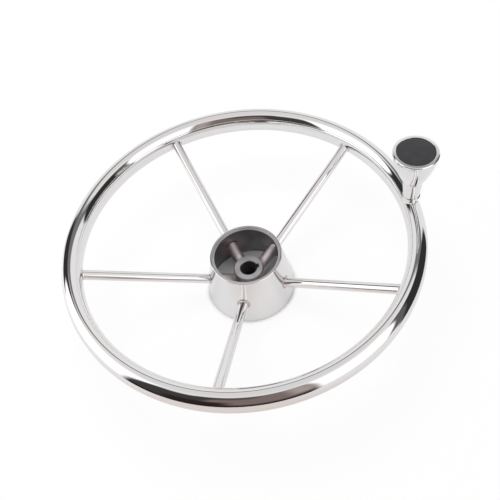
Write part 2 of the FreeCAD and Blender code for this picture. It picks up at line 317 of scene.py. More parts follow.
def quads(rows, columns, loop):
    """Corner numbers of a grid's faces. Its columns are wrapped round, and its rows too if it loops."""
    row = np.arange(rows if loop else rows - 1)[:, None]
    column = np.arange(columns)[None, :]
    next_row, next_column = (row + 1) % rows, (column + 1) % columns
    corners = [(row, column), (row, next_column), (next_row, next_column), (next_row, column)]
    return np.stack([r * columns + c for r, c in corners], axis=-1).reshape(-1, 4)


def facing_out(points, faces):
    """The faces turned so that their volume, the sum of their pyramids from the origin, is positive."""
    a, b, c, d = (points[faces[:, i]] for i in range(4))
    volume = np.sum(np.cross(a, b) * c) + np.sum(np.cross(a, c) * d)
    return faces if volume > 0 else faces[:, ::-1]


def new_mesh(name, grids, loop, walls_inside=()):
    """A mesh of closed grids. The grids named as inside walls face the other way, as a tube's bore does."""
    corners, faces, first = [], [], 0
    for number, grid in enumerate(grids):
        points = grid.reshape(-1, 3)
        made = facing_out(points, quads(grid.shape[0], grid.shape[1], loop))
        faces.append((made[:, ::-1] if number in walls_inside else made) + first)
        corners.append(points)
        first += len(points)
    mesh = bpy.data.meshes.new(name)
    corners, faces = np.concatenate(corners), np.concatenate(faces)
    mesh.vertices.add(len(corners))
    mesh.vertices.foreach_set("co", corners.astype(np.float32).ravel())
    mesh.loops.add(faces.size)
    mesh.loops.foreach_set("vertex_index", faces.astype(np.int32).ravel())
    mesh.polygons.add(len(faces))
    mesh.polygons.foreach_set("loop_start", np.arange(0, faces.size, 4, dtype=np.int32))
    mesh.update(calc_edges=True)
    merged(mesh)
    return mesh


def merged(mesh):
    """Closes the poles of a mesh, where a whole ring of points lies on the axis."""
    work = bmesh.new()
    work.from_mesh(mesh)
    bmesh.ops.remove_doubles(work, verts=work.verts, dist=MERGE_DISTANCE)
    work.to_mesh(mesh)
    work.free()
    mesh.validate()


def placed(name, data):
    """A new object in the scene that shows a mesh, a lamp or a camera."""
    made = bpy.data.objects.new(name, data)
    bpy.context.scene.collection.objects.link(made)
    return made


def cut(mesh, cutters):
    """The mesh with closed grids cut out of it."""
    piece = placed("being_cut", mesh)
    tools = []
    for cutter in cutters:
        tool = placed("cutter", new_mesh("cutter", [cutter], False))
        tools.append(tool)
        modifier = piece.modifiers.new("cut", "BOOLEAN")
        modifier.operation = "DIFFERENCE"
        modifier.solver = "EXACT"
        modifier.object = tool
    evaluated = piece.evaluated_get(bpy.context.evaluated_depsgraph_get())
    made = bpy.data.meshes.new_from_object(evaluated)
    for spent in [piece, *tools]:
        bpy.data.objects.remove(spent)
    return made


def add_piece(name, mesh, body, material):
    """Puts a finished mesh in place of the frame's node of that name, riding on its body."""
    mesh.shade_smooth()
    mesh.set_sharp_from_angle(angle=SHARP_ANGLE)
    mesh.materials.clear()
    mesh.materials.append(material)
    piece = placed(f"{name}_finished", mesh)
    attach(piece, body)
    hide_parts(name)


def add_at_spokes(spokes, stem, grid, material):
    """Puts a piece of one shape at every spoke, numbered from the first."""
    for number, angle in enumerate(spoke_angles(spokes), start=1):
        name = f"{stem}_{number}"
        add_piece(name, new_mesh(name, [turned_by(grid, angle)], False), "wheel", material)


def meet(start, direction, reach, outside):
    """Where lines meet a wall: the stretch from each start, outside the wall, to its reach is halved again
    and again, and the half that holds the wall's surface is kept."""
    near = np.zeros(start.shape[:-1])
    far = np.full(start.shape[:-1], float(reach))
    for _ in range(BISECTIONS):
        middle = (near + far) / 2
        out = outside(start + middle[..., None] * direction) > 0
        near, far = np.where(out, middle, near), np.where(out, far, middle)
    return start + ((near + far) / 2)[..., None] * direction


def wall_normal(points, outside):
    """The unit vector away from a wall: how the wall's function changes over a small step each way."""
    steps = NORMAL_STEP * np.eye(3)
    return unit(np.stack([outside(points + step) - outside(points - step) for step in steps], axis=-1))


def weld_fillet(start, around, direction, reach, fillet, outside):
    """Rings of a concave weld, from a rod's side to a wall. Across the weld they follow an arc that touches
    both: the quadratic curve from one tangent point over the corner to the other, weighted by the sine of
    half the angle between rod and wall."""
    corner = meet(start, direction, reach, outside)
    normal = wall_normal(corner, outside)
    wall_way = unit(around - normal * dot(around, normal))
    opening = np.arccos(-dot(wall_way, direction))
    setback = fillet / np.tan(opening / 2)
    rod_end = corner - direction * setback
    toe = meet(corner + wall_way * setback - direction * fillet, direction, 3 * fillet, outside)
    weight = np.sin(opening / 2)
    part = np.linspace(0, 1, ARC_STEPS + 1)[:, None, None]
    blend = (1 - part) ** 2 + 2 * weight * part * (1 - part) + part ** 2
    return ((1 - part) ** 2 * rod_end + 2 * weight * part * (1 - part) * corner + part ** 2 * toe) / blend


def rod_side(start, end):
    """Rings between two rings of a rod's side: each line of the side is divided evenly."""
    distance = np.max(np.linalg.norm(end - start, axis=-1))
    inner = np.linspace(0, 1, 2 + int(distance / ROD_SPACING))[1:-1]
    part = np.concatenate([[SUPPORT / distance], inner, [1 - SUPPORT / distance]])[:, None, None]
    return start + part * (end - start)


class Tube:
    """The rim's oval tube: the ring through its middle, and the halves of its width and depth."""

    def __init__(self, scene):
        rim, spokes = scene.wheel_rim, scene.wheel_spokes
        self.ring = (rim.diameter - rim.tube_width) / 2
        self.height = spokes.line_height + self.ring * math.tan(spokes.slope)
        self.half_width, self.half_depth = rim.tube_width / 2, rim.tube_depth / 2

    def outside(self, points):
        """Positive outside the tube: the oval's equation about the ring through its middle."""
        across = (np.hypot(points[..., 0], points[..., 1]) - self.ring) / self.half_width
        return across ** 2 + ((points[..., 2] - self.height) / self.half_depth) ** 2 - 1

    def grid(self, inset, wall):
        """The tube's outer or inner wall: the ring's radius plus half the width times a cosine, and the
        middle's height plus half the depth times a sine, turned about the wheel's axis."""
        angle = full_turn(OVAL_STEPS[wall])
        radius = self.ring + (self.half_width - inset) * np.cos(angle)
        height = self.height + (self.half_depth - inset) * np.sin(angle)
        return turned(np.stack([radius, height], axis=-1), AROUND[wall])


def wall_outside(radius, lean=0.0):
    """Positive outside an upright wall: the distance from the axis less the wall's radius, which shrinks
    with height by the lean."""

    def outside(points):
        return np.hypot(points[..., 0], points[..., 1]) - (radius - lean * points[..., 2])

    return outside


def cone_lean(hub):
    """How much the hub's radius shrinks for each unit of height."""
    return (hub.base - hub.mouth) / 2 / hub.height


def cone_outside(hub, inset):
    """Positive outside the hub's cone, narrowed by an inset."""
    return wall_outside(hub.base / 2 - inset, cone_lean(hub))


class SpokeLine:
    """The centre line of the spoke over +X, and points round it."""

    def __init__(self, scene):
        slope = scene.wheel_spokes.slope
        self.direction = np.array([math.cos(slope), 0, math.sin(slope)])
        self.origin = np.array([0, 0, scene.wheel_spokes.line_height])
        self.reach = Tube(scene).ring / math.cos(slope)
        angle = full_turn(AROUND["rod"])[:, None]
        lift = np.array([-math.sin(slope), 0, math.cos(slope)])
        self.around = np.cos(angle) * np.array([0, 1.0, 0]) + np.sin(angle) * lift

    def ring(self, radius, along):
        """A circle of points round the line, at a distance along it."""
        return self.origin + self.around * radius + self.direction * along

    def crossing(self, outside):
        """How far along the line it leaves a wall that is round the axis."""
        far = self.origin + self.direction * self.reach
        hit = meet(far, -self.direction, self.reach, outside)
        return float(np.dot(hit - self.origin, self.direction))


def spoke_angles(spokes):
    """The spokes' directions, spread evenly from the first."""
    return [spokes.first_angle + i * 2 * math.pi / spokes.count for i in range(spokes.count)]


def socket_floor(scene, line):
    """How far along a spoke's line its socket ends."""
    hub = scene.wheel_hub
    return line.crossing(cone_outside(hub, hub.wall + hub.arm_gap)) - scene.wheel_spokes.plug


def spoke_grid(scene):
    """The spoke over +X, as rings from the end of its plug, over both welds, to its end on the rim."""
    spokes, line = scene.wheel_spokes, SpokeLine(scene)
    radius = spokes.diameter / 2
    cone, tube = cone_outside(scene.wheel_hub, 0), Tube(scene).outside
    floor = socket_floor(scene, line) + spokes.fit
    half, outward = line.reach / 2, line.direction
    middle = line.ring(radius, half)
    hub_weld = weld_fillet(middle, line.around, -outward, half, spokes.weld, cone)
    rim_weld = weld_fillet(middle, line.around, outward, half, spokes.weld, tube)
    plug_end = line.ring(radius, floor)
    in_shell = meet(middle, -outward, half, cone)
    on_rim = [meet(line.ring(radius * part, half), outward, half, tube) for part in (0.5, 0)]
    return np.concatenate([
        [line.ring(0, floor), plug_end],
        rod_side(plug_end, in_shell),
        [in_shell],
        hub_weld[::-1],
        rod_side(hub_weld[0], rim_weld[0]),
        rim_weld,
        on_rim,
    ])


def arm_grid(scene):
    """The socket arm over +X, as rings from its end on the bush, over its weld, to its socket's floor."""
    hub, line = scene.wheel_hub, SpokeLine(scene)
    radius = hub.arm / 2
    hole = scene.wheel_spokes.diameter / 2 + scene.wheel_spokes.fit
    inside = cone_outside(hub, hub.wall + hub.arm_gap)
    bush = wall_outside(hub.bush / 2)
    start, half, inward = line.crossing(inside), line.reach / 2, -line.direction
    weld = weld_fillet(line.ring(radius, start), line.around, inward, start, hub.arm_weld, bush)
    on_bush = [meet(line.ring(radius * part, start), inward, start, bush) for part in (0, 0.5)]
    ends = [meet(line.ring(edge, half), inward, half, inside) for edge in (radius, hole)]
    floor = socket_floor(scene, line)
    floor_edge = line.ring(hole, floor)
    return np.concatenate([
        on_bush,
        weld[::-1],
        rod_side(weld[0], ends[0]),
        ends,
        rod_side(ends[1], floor_edge),
        [floor_edge, line.ring(0, floor)],
    ])


def shell_drill(scene):
    """The hole of the spoke over +X through the hub's wall, as a closed grid."""
    hub, line = scene.wheel_hub, SpokeLine(scene)
    middle = line.crossing(cone_outside(hub, hub.wall / 2))
    start, end = middle - 4 * hub.wall, middle + 4 * hub.wall
    radius = scene.wheel_spokes.diameter / 2 + scene.wheel_spokes.fit
    return np.array([line.ring(*at) for at in ((0, start), (radius, start), (radius, end), (0, end))])


def shell_profile(hub):
    """The cone's section, with its lip, the recess for a cap and the ledge under it."""
    lean, small_edge = cone_lean(hub), hub.lip_rounding / 3
    lip_outer = hub.mouth / 2
    lip_inner = lip_outer - hub.lip
    ledge_inner = lip_inner - hub.ledge
    ledge_top = hub.height - hub.recess
    ledge_bottom = ledge_top - hub.ledge_thickness
    gap = hub.base / 2 - lean * ledge_bottom - hub.wall - ledge_inner
    wall_height = ledge_bottom - gap / (1 - lean)
    return rounded([
        (hub.base / 2, 0, small_edge),
        (lip_outer, hub.height, hub.lip_rounding),
        (lip_inner, hub.height, small_edge),
        (lip_inner, ledge_top),
        (ledge_inner, ledge_top),
        (ledge_inner, ledge_bottom),
        (hub.base / 2 - lean * wall_height - hub.wall, wall_height),
        (hub.base / 2 - hub.wall, 0),
    ])


def bore_radius(hub, height):
    """Half of the bore's diameter at its large end less the height over the taper."""
    return (hub.bore - height / hub.taper) / 2


def bush_profile(hub):
    """The bush's section: its chamfered outside and the tapered, chamfered bore."""
    outer, top, chamfer, bevel = hub.bush / 2, hub.bush_length, hub.bush_chamfer, hub.bore_chamfer
    return rounded([
        (bore_radius(hub, bevel) + bevel, 0),
        (outer - chamfer, 0),
        (outer, chamfer),
        (outer, top - chamfer),
        (outer - chamfer, top),
        (bore_radius(hub, top - bevel) + bevel, top),
        (bore_radius(hub, top - bevel), top - bevel),
        (bore_radius(hub, bevel), bevel),
    ])


def keyway_cutter(hub):
    """A wedge as wide as the keyway, whose outer side runs parallel to the bore's wall."""
    low, high = -hub.bore_chamfer, hub.bush_length + hub.bore_chamfer
    low_floor, high_floor = (bore_radius(hub, z) + hub.keyway_depth for z in (low, high))
    side = np.array([(0, 0, low), (low_floor, 0, low), (high_floor, 0, high), (0, 0, high)])
    half = np.array([0, hub.keyway_width / 2, 0])
    middle = side.mean(axis=0)
    rings = np.array([0 * side + middle - half, side - half, side + half, 0 * side + middle + half])
    return turned_by(rings, hub.keyway_angle)


class KnobHeights:
    """Heights on the knob's axis, each worked out from the one below it."""

    def __init__(self, scene):
        tube, knob = Tube(scene), scene.wheel_knob
        self.centre = (tube.ring * math.cos(knob.angle), tube.ring * math.sin(knob.angle))
        self.crest = tube.height + tube.half_depth
        self.boss_top = self.crest + knob.boss_rise
        self.foot = self.boss_top + knob.washer + knob.end_gap
        self.cup_floor = self.foot + knob.cup_height
        self.head_seat = self.cup_floor + knob.end_gap + knob.washer
        self.bowl_top = self.foot + knob.bowl_height
        self.cap_seat = self.bowl_top - knob.seat_depth
        self.bezel_bottom = self.bowl_top + knob.bezel_gap
        self.bezel_top = self.bezel_bottom + knob.bezel_height


def knob_body_profile(knob, z):
    """The goblet's section: a foot, a straight neck, an arc for the bowl, and the cup and bore inside."""
    skirt = knob.bezel_bore / 2 + knob.bezel_skirt
    neck, edge = (knob.neck / 2, z.foot + knob.neck_height), (knob.bowl / 2, z.bowl_top)
    outside = rounded([
        (knob.sleeve / 2, z.foot),
        (knob.foot / 2 - knob.foot_chamfer, z.foot),
        (knob.foot / 2, z.foot + knob.foot_chamfer),
        neck,
    ], closed=False)
    bowl = arc_through(neck, (knob.middle / 2, z.foot + knob.middle_height), edge, BOWL_STEPS)
    inside = rounded([
        edge,
        (skirt, z.bowl_top),
        (skirt, z.cap_seat),
        (knob.cup_mouth / 2, z.cap_seat),
        (knob.cup_floor / 2, z.cup_floor),
        (knob.sleeve / 2, z.cup_floor),
        (knob.sleeve / 2, z.foot),
    ], closed=False)
    return np.concatenate([outside[:-1], bowl, inside[1:-1]])


def bezel_profile(knob, z):
    """The bezel's section: a rounded ring over a thin skirt that sits in the bowl's edge."""
    outer, bore = knob.bezel / 2, knob.bezel_bore / 2
    skirt = bore + knob.bezel_skirt
    return rounded([
        (bore, z.cap_seat),
        (skirt, z.cap_seat),
        (skirt, z.bezel_bottom),
        (outer, z.bezel_bottom, knob.bezel_gap),
        (outer, z.bezel_top, knob.bezel_rounding),
        (bore, z.bezel_top, knob.bezel_gap),
    ])


def cap_profile(knob, z):
    """The cap's section from axis to axis. Its face is a parabola, highest at the middle."""
    outer = knob.bezel_bore / 2
    inner, edge = outer - knob.cap_skirt, outer - knob.cap_chamfer
    face = z.bezel_top - knob.cap_recess
    below = rounded([
        (0, face - knob.cap),
        (inner, face - knob.cap),
        (inner, z.cap_seat),
        (outer, z.cap_seat),
        (outer, face - knob.cap_chamfer),
        (edge, face),
    ], closed=False)
    radius = np.linspace(edge, 0, CROWN_STEPS)[1:]
    crown = np.stack([radius, face + knob.cap_crown * (1 - (radius / edge) ** 2)], axis=-1)
    return np.concatenate([below, crown])


def ring_profile(outer, inner, bottom, top, edge=RING_EDGE):
    """A plain ring's section, with its four edges rounded."""
    return rounded([(inner, bottom, edge), (outer, bottom, edge), (outer, top, edge), (inner, top, edge)])


def screw_profile(knob, z):
    """The shoulder screw's section from axis to axis, with close rings along its thread."""
    thread, shoulder, head = knob.thread / 2, knob.shoulder / 2, knob.head / 2
    bottom, top = z.boss_top - knob.thread_length, z.head_seat + knob.head_height
    start, end = bottom + knob.pitch / 2, z.boss_top - knob.pitch / 2
    heights = np.linspace(start, end, 1 + STEPS_PER_PITCH * int((end - start) / knob.pitch))
    below = rounded([(0, bottom), (thread - knob.pitch / 2, bottom), (thread, start)], closed=False)
    above = rounded([
        (thread, end),
        (thread, z.boss_top),
        (shoulder, z.boss_top),
        (shoulder, z.head_seat),
        (head, z.head_seat),
        (head, top, HEAD_EDGE),
        (0, top),
    ], closed=False)
    return np.concatenate([below[:-1], np.stack([heights * 0 + thread, heights], axis=-1), above[1:]])


def threaded(grid, knob, z):
    """A turned grid with a thread: its radius dips by a cosine wave of the height over the pitch, less the
    angle in turns. The wave fades over one pitch at both ends."""
    offset = grid[..., :2] - np.array(z.centre)
    height = grid[..., 2]
    phase = height / knob.pitch - np.arctan2(offset[..., 1], offset[..., 0]) / (2 * np.pi)
    start, end = z.boss_top - knob.thread_length + knob.pitch / 2, z.boss_top - knob.pitch / 2
    fade = np.clip(np.minimum(height - start, end - height) / knob.pitch, 0, 1)
    dip = THREAD_DEPTH * knob.pitch * fade * (0.5 - 0.5 * np.cos(2 * np.pi * phase))
    radius = np.linalg.norm(offset, axis=-1)
    keep = np.where(radius > 0, 1 - dip / np.maximum(radius, MERGE_DISTANCE), 1)
    grid[..., :2] = np.array(z.centre) + offset * keep[..., None]
    return grid


def boss_grid(scene):
    """The boss as closed rings: its top, side and weld, the cope on the rim, the spigot and the bore."""
    tube, knob, z = Tube(scene), scene.wheel_knob, KnobHeights(scene)
    angle = full_turn(AROUND["boss"])
    around = np.stack([np.cos(angle), np.sin(angle), 0 * angle], axis=-1)
    foot = np.array([*z.centre, 0])
    reach = knob.boss_rise + tube.half_depth
    bore = knob.thread / 2 + scene.wheel_spokes.fit
    spigot_bottom = z.crest - knob.spigot_depth

    def ring(radius, height):
        """A level circle of points round the knob's axis."""
        return foot + around * radius + UP * height

    top_edge = ring(knob.boss / 2 - BOSS_BEVEL, z.boss_top)
    side_top = ring(knob.boss / 2, z.boss_top - BOSS_BEVEL)
    weld = weld_fillet(side_top, around, -UP, reach, knob.boss_weld, tube.outside)
    cope = meet(ring(knob.spigot / 2, z.boss_top), -UP, reach, tube.outside)
    spigot_end = ring(knob.spigot / 2, spigot_bottom)
    bore_top, bore_end = ring(bore, z.boss_top), ring(bore, spigot_bottom)
    return np.concatenate([
        [bore_top, top_edge, side_top],
        rod_side(side_top, weld[0]),
        weld,
        [cope],
        rod_side(cope, spigot_end),
        [spigot_end, bore_end],
        rod_side(bore_end, bore_top),
    ])


class Value:
    """A number that varies over a surface. Arithmetic on it adds Math nodes."""

    def __init__(self, graph, socket):
        self.graph = graph
        self.socket = socket

    def math(self, operation, *given):
        """The value that a Math node gives for numbers and values."""
        made = self.graph.node("Math", {"operation": operation}, dict(enumerate(given)))
        return Value(self.graph, made.outputs[0])

    def __add__(self, other):
        return self.math("ADD", self, other)

    __radd__ = __add__

    def __sub__(self, other):
        return self.math("SUBTRACT", self, other)

    def __rsub__(self, other):
        return self.math("SUBTRACT", other, self)

    def __mul__(self, other):
        return self.math("MULTIPLY", self, other)

    __rmul__ = __mul__

    def __truediv__(self, other):
        return self.math("DIVIDE", self, other)

    def __pow__(self, other):
        return self.math("POWER", self, other)

    def __abs__(self):
        return self.math("ABSOLUTE", self)

    def rise(self, low, high):
        """From 0 at the low value to 1 at the high one, smoothly."""
        limits = {"Value": self, "From Min": low, "From Max": high}
        made = self.graph.node("MapRange", {"interpolation_type": "SMOOTHSTEP"}, limits)
        return Value(self.graph, made.outputs[0])


class Graph:
    """The nodes of one material or of the world."""

    def __init__(self, tree):
        self.tree = tree
        tree.nodes.clear()

    def node(self, kind, settings=None, inputs=None):
        """A new node of a type, with its settings first and then the values or links of its sockets."""
        made = self.tree.nodes.new(f"ShaderNode{kind}")
        for name, setting in (settings or {}).items():
            setattr(made, name, setting)
        for name, given in (inputs or {}).items():
            given = given.socket if isinstance(given, Value) else given
            if isinstance(given, bpy.types.NodeSocket):
                self.tree.links.new(given, made.inputs[name])
            else:
                made.inputs[name].default_value = given
        return made

    def where(self):
        """The object coordinates of a point on the surface, as one vector."""
        return self.node("TexCoord").outputs["Object"]

    def place(self):
        """The three object coordinates of a point on the surface."""
        parts = self.node("SeparateXYZ", None, {0: self.where()})
        return [Value(self, output) for output in parts.outputs]

    def vector(self, x, y, z):
        """A vector from three values."""
        return self.node("CombineXYZ", None, {0: x, 1: y, 2: z}).outputs[0]

    def noise(self, vector, scale, detail):
        """Smooth noise between 0 and 1."""
        made = self.node("TexNoise", None, {"Vector": vector, "Scale": scale, "Detail": detail})
        return Value(self, made.outputs[0])

    def camera_ray(self):
        """One where the camera sees the surface itself, and zero where the steel mirrors it."""
        return Value(self, self.node("LightPath").outputs["Is Camera Ray"])

    def mix(self, part, first, second):
        """From the first colour to the second as the part goes from 0 to 1."""
        first, second = (c if isinstance(c, bpy.types.NodeSocket) else (*c, 1) for c in (first, second))
        made = self.node("Mix", {"data_type": "RGBA"}, {0: part, 6: first, 7: second})
        return made.outputs[2]

    def bump(self, height, distance):
        """The surface's direction on a bumpy height, with its depth in metres."""
        made = self.node("Bump", None, {"Strength": 1.0, "Distance": distance, "Height": height})
        return made.outputs[0]

    def end(self, kind, inputs, output="OutputMaterial"):
        """The last shader and the output that shows it."""
        shader = self.node(kind, None, inputs)
        self.node(output, None, {0: shader.outputs[0]})

    def metal(self, tone, roughness, normal):
        """Ends the material as bare metal."""
        tones = {"Base Color": tone, "Metallic": 1.0, "Roughness": roughness, "Normal": normal}
        self.end("BsdfPrincipled", tones)

    def plastic(self, tone, roughness, normal):
        """Ends the material as plastic."""
        self.end("BsdfPrincipled", {"Base Color": tone, "Roughness": roughness, "Normal": normal})


def new_material(name):
    """A material and its empty graph."""
    material = bpy.data.materials.new(name)
    material.use_nodes = True
    return material, Graph(material.node_tree)


def scaled(tone, factor):
    """A darker or paler tone."""
    return tuple(min(1.0, factor * part) for part in tone)


# What scratches and welds add to the roughness, and how deep the marks of a surface are in metres. The
# scale of a noise is in patches per metre, and so are the factors of a vector in which lines run.
SCRATCH_ROUGHNESS = 0.05
WELD_ROUGHNESS = 0.16
WAVE_DEPTH = 0.00004
MARK_DEPTH = 0.00003
LINE_DEPTH = 0.00001
# Where one tone fades into another, in metres: in the thickness of the cone's wall, round a spoke's centre
# line outside and inside the cone, and away from the wall that a spoke is welded to.
WALL_FADE = (-0.0017, -0.0013)
HEAT_OUTSIDE = (0.006, 0.0074)
HEAT_INSIDE = (0.007, 0.02)
HEAT_AT_HUB = (0.0, 0.0022)
HEAT_AT_RIM = (0.0, 0.0012)


def from_axis(x, y, centre=(0.0, 0.0)):
    """Distance from an upright axis."""
    return ((x - centre[0]) ** 2 + (y - centre[1]) ** 2) ** 0.5


def spoke_distance(graph, scene):
    """Distance from the nearest spoke's centre line. The angle is folded into one spoke's sector first."""
    spokes, line = scene.wheel_spokes, SpokeLine(scene)
    x, y, z = graph.place()
    radius = from_axis(x, y)
    sector = 2 * math.pi / spokes.count
    angle = y.math("ARCTAN2", y, x) - spokes.first_angle
    folded = angle.math("WRAP", angle, sector / 2, -sector / 2)
    forward, sideways = radius * folded.math("COSINE", folded), radius * folded.math("SINE", folded)
    lift = (z - float(line.origin[2])) * math.cos(spokes.slope) - forward * math.sin(spokes.slope)
    return (sideways ** 2 + lift ** 2) ** 0.5


def cone_distance(graph, hub):
    """Distance of a point from the hub's outer cone, measured level, and negative inside."""
    x, y, z = graph.place()
    return from_axis(x, y) - (hub.base / 2 - cone_lean(hub) * z)


def rim_distance(graph, tube):
    """Roughly the distance of a point outside the rim's tube."""
    x, y, z = graph.place()
    across = (from_axis(x, y) - tube.ring) / tube.half_width
    up = (z - tube.height) / tube.half_depth
    return ((across ** 2 + up ** 2) ** 0.5 - 1) * tube.half_width


def polished_steel(name, looks, lines, weld_mask=None):
    """Mirror polish with a drifting tone, fine polishing lines and a slight waviness. The lines function
    gives the vector in which the lines run, and the weld mask says where heat has tinted the steel."""
    material, graph = new_material(name)
    where = graph.where()
    drift = graph.noise(where, 14.0, 3.0).rise(0.35, 0.65)
    scratches = graph.noise(lines(graph), 1.0, 3.0)
    waves = graph.noise(where, 60.0, 1.0)
    tone = graph.mix(drift, looks.steel, looks.warm_steel)
    roughness = looks.polish + SCRATCH_ROUGHNESS * scratches.rise(0.55, 0.85)
    if weld_mask is not None:
        heated = weld_mask(graph)
        tone = graph.mix(heated, tone, looks.weld)
        roughness = roughness + WELD_ROUGHNESS * heated
    graph.metal(tone, roughness, graph.bump(waves + 0.04 * scratches, WAVE_DEPTH))
    return material


def hub_steel(scene):
    """The cone: polished outside, with its spinning lines, and unpolished steel inside, painted much darker
    as painted shade of the hollow cone.
    """
    looks, hub = scene.wheel_finishes, scene.wheel_hub
    material, graph = new_material("cone_steel")
    where = graph.where()
    x, y, z = graph.place()
    inside = 1 - cone_distance(graph, hub).rise(*WALL_FADE)
    drift = graph.noise(where, 22.0, 3.0).rise(0.3, 0.7)
    lines = graph.noise(graph.vector(x * 12, y * 12, z * 1400), 1.0, 3.0)
    outside_tone = graph.mix(drift, looks.steel, looks.warm_steel)
    off_spoke = spoke_distance(graph, scene)
    weld_heat = 1 - off_spoke.rise(*HEAT_OUTSIDE)
    outside_tone = graph.mix(weld_heat * 0.4, outside_tone, looks.weld)
    patches = graph.noise(where, 55.0, 4.0).rise(0.3, 0.7)
    # Painted shade: the steel inside is far darker than outside. Part of that is its duller finish and part
    # is painted shade of the hollow. Only the ledge under the mouth turns to the paler turned tone.
    shaded_inside_tone = graph.mix(patches, looks.satin_painted_dark, scaled(looks.satin_painted_dark, 0.75))
    inside_heat = 1 - off_spoke.rise(*HEAT_INSIDE)
    shaded_inside_tone = graph.mix(inside_heat * 0.8, shaded_inside_tone, looks.heat_tint)
    ledge_top = hub.height - hub.recess
    in_mouth = z.rise(ledge_top - hub.ledge_thickness, ledge_top)
    shaded_inside_tone = graph.mix(in_mouth, shaded_inside_tone, looks.turned)
    roughness = looks.polish + 0.04 + 0.04 * lines + inside * (looks.satin_roughness - looks.polish)
    tone = graph.mix(inside, outside_tone, shaded_inside_tone)
    graph.metal(tone, roughness, graph.bump(lines * (0.3 + inside), LINE_DEPTH))
    return material


def turned_steel(name, steel, roughness, lines):
    """Machined steel: close tool marks that run with the lines function's vector, and a fine grain."""
    material, graph = new_material(name)
    where = graph.where()
    marks = graph.noise(lines(graph), 1.0, 2.0)
    patches = graph.noise(where, 90.0, 4.0).rise(0.3, 0.7)
    grain = graph.noise(where, 900.0, 3.0)
    tone = graph.mix(patches * 0.6 + grain * 0.4, scaled(steel, 1.15), scaled(steel, 0.8))
    roughness = roughness + 0.08 * patches + 0.1 * marks
    graph.metal(tone, roughness, graph.bump(marks + grain * 0.5, MARK_DEPTH))
    return material


def cap_plastic(looks):
    """Smooth black plastic with a faint moulded grain and a few rubbed spots."""
    material, graph = new_material("cap_plastic")
    where = graph.where()
    grain = graph.noise(where, 3200.0, 2.0)
    rubbed = graph.noise(where, 120.0, 3.0).rise(0.4, 0.8)
    tone = graph.mix(rubbed, looks.cap, scaled(looks.cap, 1.35))
    graph.plastic(tone, looks.cap_roughness + 0.1 * rubbed, graph.bump(grain, LINE_DEPTH))
    return material


def sleeve_plastic(looks):
    """Pale plastic with faint turning marks."""
    material, graph = new_material("sleeve_plastic")
    x, y, z = graph.place()
    marks = graph.noise(graph.vector(x * 60, y * 60, z * 5000), 1.0, 2.0)
    cloud = graph.noise(graph.where(), 160.0, 2.0)
    tone = graph.mix(cloud, looks.sleeve, scaled(looks.sleeve, 0.85))
    graph.plastic(tone, looks.sleeve_roughness + 0.1 * marks, graph.bump(marks, LINE_DEPTH))
    return material


def ring_lines(graph):
    """Lines that run round the wheel: fine across the tube's section and slow along the rim."""
    x, y, z = graph.place()
    return graph.vector(from_axis(x, y) * 900 + x * 9, z * 900 + y * 9, (x + y) * 6)


def rod_lines(graph):
    """Lines that run round a spoke: fine along the spoke and slow round it."""
    x, y, _ = graph.place()
    return graph.vector(from_axis(x, y) * 1200, x * 40, y * 40)


def knob_lines(centre):
    """Lines that run round the knob's axis."""

    def lines(graph):
        x, y, z = graph.place()
        return graph.vector(z * 1300, from_axis(x, y, centre) * 1300, (x + y) * 20)

    return lines


def face_lines(graph):
    """Tool marks of a lathe about the wheel's axis."""
    x, y, z = graph.place()
    return graph.vector(from_axis(x, y) * 2600, z * 2600, (x + y) * 15)


def spoke_weld_mask(scene):
    """Heat tint at both ends of a spoke, strongest at the weld's toe."""

    def mask(graph):
        at_hub = 1 - abs(cone_distance(graph, scene.wheel_hub)).rise(*HEAT_AT_HUB)
        at_rim = 1 - abs(rim_distance(graph, Tube(scene))).rise(*HEAT_AT_RIM)
        return at_hub.math("MAXIMUM", at_hub * 0.6, at_rim * 0.5)

    return mask


class WheelOperator:
    """What every operator here shares."""

    bl_options = {"REGISTER", "UNDO"}

    @classmethod
    def poll(cls, context):
        return context.scene is not None


class WHEEL_OT_rim(WheelOperator, bpy.types.Operator):
    """Build the rim: the oval tube with its bore and the hole for the knob's boss"""

    bl_idname = "wheel.rim"
    bl_label = "Rim"

    def execute(self, context):
        scene = context.scene
        tube, z = Tube(scene), KnobHeights(scene)
        walls = [tube.grid(0, "rim"), tube.grid(scene.wheel_rim.tube_wall, "rim_bore")]
        hole = scene.wheel_knob.spigot / 2 + scene.wheel_spokes.fit
        drill = post(hole, tube.height, z.boss_top, AROUND["drill"], z.centre)
        mesh = cut(new_mesh("rim", walls, True, walls_inside=(1,)), [drill])
        steel = polished_steel("rim_steel", scene.wheel_finishes, ring_lines)
        add_piece("rim", mesh, "wheel", steel)
        return {"FINISHED"}


class WHEEL_OT_spokes(WheelOperator, bpy.types.Operator):
    """Build the spokes, each welded to the hub's cone and to the rim"""

    bl_idname = "wheel.spokes"
    bl_label = "Spokes"

    def execute(self, context):
        scene = context.scene
        steel = polished_steel("spoke_steel", scene.wheel_finishes, rod_lines, spoke_weld_mask(scene))
        add_at_spokes(scene.wheel_spokes, "spoke", spoke_grid(scene), steel)
        return {"FINISHED"}


class WHEEL_OT_hub_shell(WheelOperator, bpy.types.Operator):
    """Build the hub's cone with its lip, ledge and spoke holes"""

    bl_idname = "wheel.hub_shell"
    bl_label = "Hub shell"

    def execute(self, context):
        scene = context.scene
        drill = shell_drill(scene)
        drills = [turned_by(drill, angle) for angle in spoke_angles(scene.wheel_spokes)]
        cone = turned(shell_profile(scene.wheel_hub), AROUND["shell"])
        mesh = cut(new_mesh("hub_shell", [cone], True), drills)
        add_piece("hub_shell", mesh, "wheel", hub_steel(scene))
        return {"FINISHED"}


